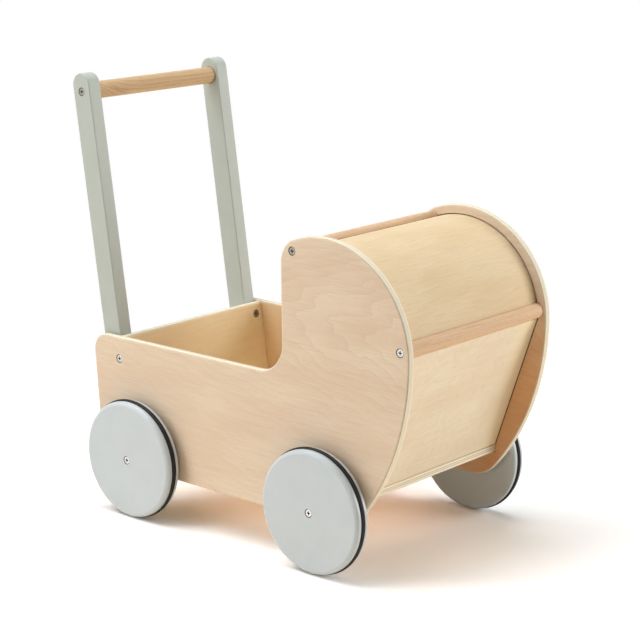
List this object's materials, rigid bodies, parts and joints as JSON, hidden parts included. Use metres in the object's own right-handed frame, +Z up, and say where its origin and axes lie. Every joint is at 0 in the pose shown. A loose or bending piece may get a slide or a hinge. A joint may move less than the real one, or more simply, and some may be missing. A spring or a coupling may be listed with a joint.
{
  "type": "doll stroller",
  "caption": "Plywood doll stroller: low-walled basket under a bent wooden hood, leaning posts with a round push bar, and painted disc wheels with rubber rings on dowel axles.",
  "frame": {"origin": "on the ground, under the middle of the stroller's length and width", "axes": "+X forward towards the hood, +Y to the left of the child who pushes, +Z up"},
  "size_m": [0.4414, 0.2574, 0.4416],
  "materials": {
    "side_ply": "clear matt lacquer over birch plywood",
    "basket_ply": "clear matt lacquer over birch plywood",
    "hood_ply": "clear matt lacquer over thin bending plywood",
    "dowel_wood": "clear matt lacquer over turned beech",
    "bar_wood": "clear satin lacquer over turned ash",
    "post_paint": "grey paint over wood",
    "wheel_paint": "grey paint over wood",
    "tyre_rubber": "matt black rubber ring",
    "screw_steel": "zinc-plated steel"
  },
  "bodies": {
    "stroller_frame": {"side_panel_left": "side_ply", "side_panel_right": "side_ply", "floor_board": "basket_ply", "rear_board": "basket_ply", "front_board": "hood_ply", "hood_sheet": "hood_ply", "hood_front_dowel": "dowel_wood", "hood_rear_dowel": "dowel_wood", "handle_bar": "bar_wood", "handle_post_left": "post_paint", "handle_post_right": "post_paint", "hood_front_screw_left": "screw_steel", "hood_front_screw_right": "screw_steel", "hood_rear_screw_left": "screw_steel", "hood_rear_screw_right": "screw_steel", "rear_board_screw_left": "screw_steel", "rear_board_screw_right": "screw_steel", "handle_bar_screw_left": "screw_steel", "handle_bar_screw_right": "screw_steel", "post_screw_upper_left": "screw_steel", "post_screw_upper_right": "screw_steel", "post_screw_lower_left": "screw_steel", "post_screw_lower_right": "screw_steel"},
    "front_wheelset": {"front_axle": "dowel_wood", "front_wheel_left": "wheel_paint", "front_wheel_right": "wheel_paint", "front_tyre_left": "tyre_rubber", "front_tyre_right": "tyre_rubber", "front_wheel_screw_left": "screw_steel", "front_wheel_screw_right": "screw_steel"},
    "rear_wheelset": {"rear_axle": "dowel_wood", "rear_wheel_left": "wheel_paint", "rear_wheel_right": "wheel_paint", "rear_tyre_left": "tyre_rubber", "rear_tyre_right": "tyre_rubber", "rear_wheel_screw_left": "screw_steel", "rear_wheel_screw_right": "screw_steel"}
  },
  "joints": [
    {"name": "front_wheels_roll", "type": "hinge", "parent": "stroller_frame", "child": "front_wheelset", "pos_m": [0.11824, 0, 0.0612], "axis": [0, 1, 0], "continuous": true},
    {"name": "rear_wheels_roll", "type": "hinge", "parent": "stroller_frame", "child": "rear_wheelset", "pos_m": [-0.12736, 0, 0.0612], "axis": [0, 1, 0], "continuous": true}
  ]
}
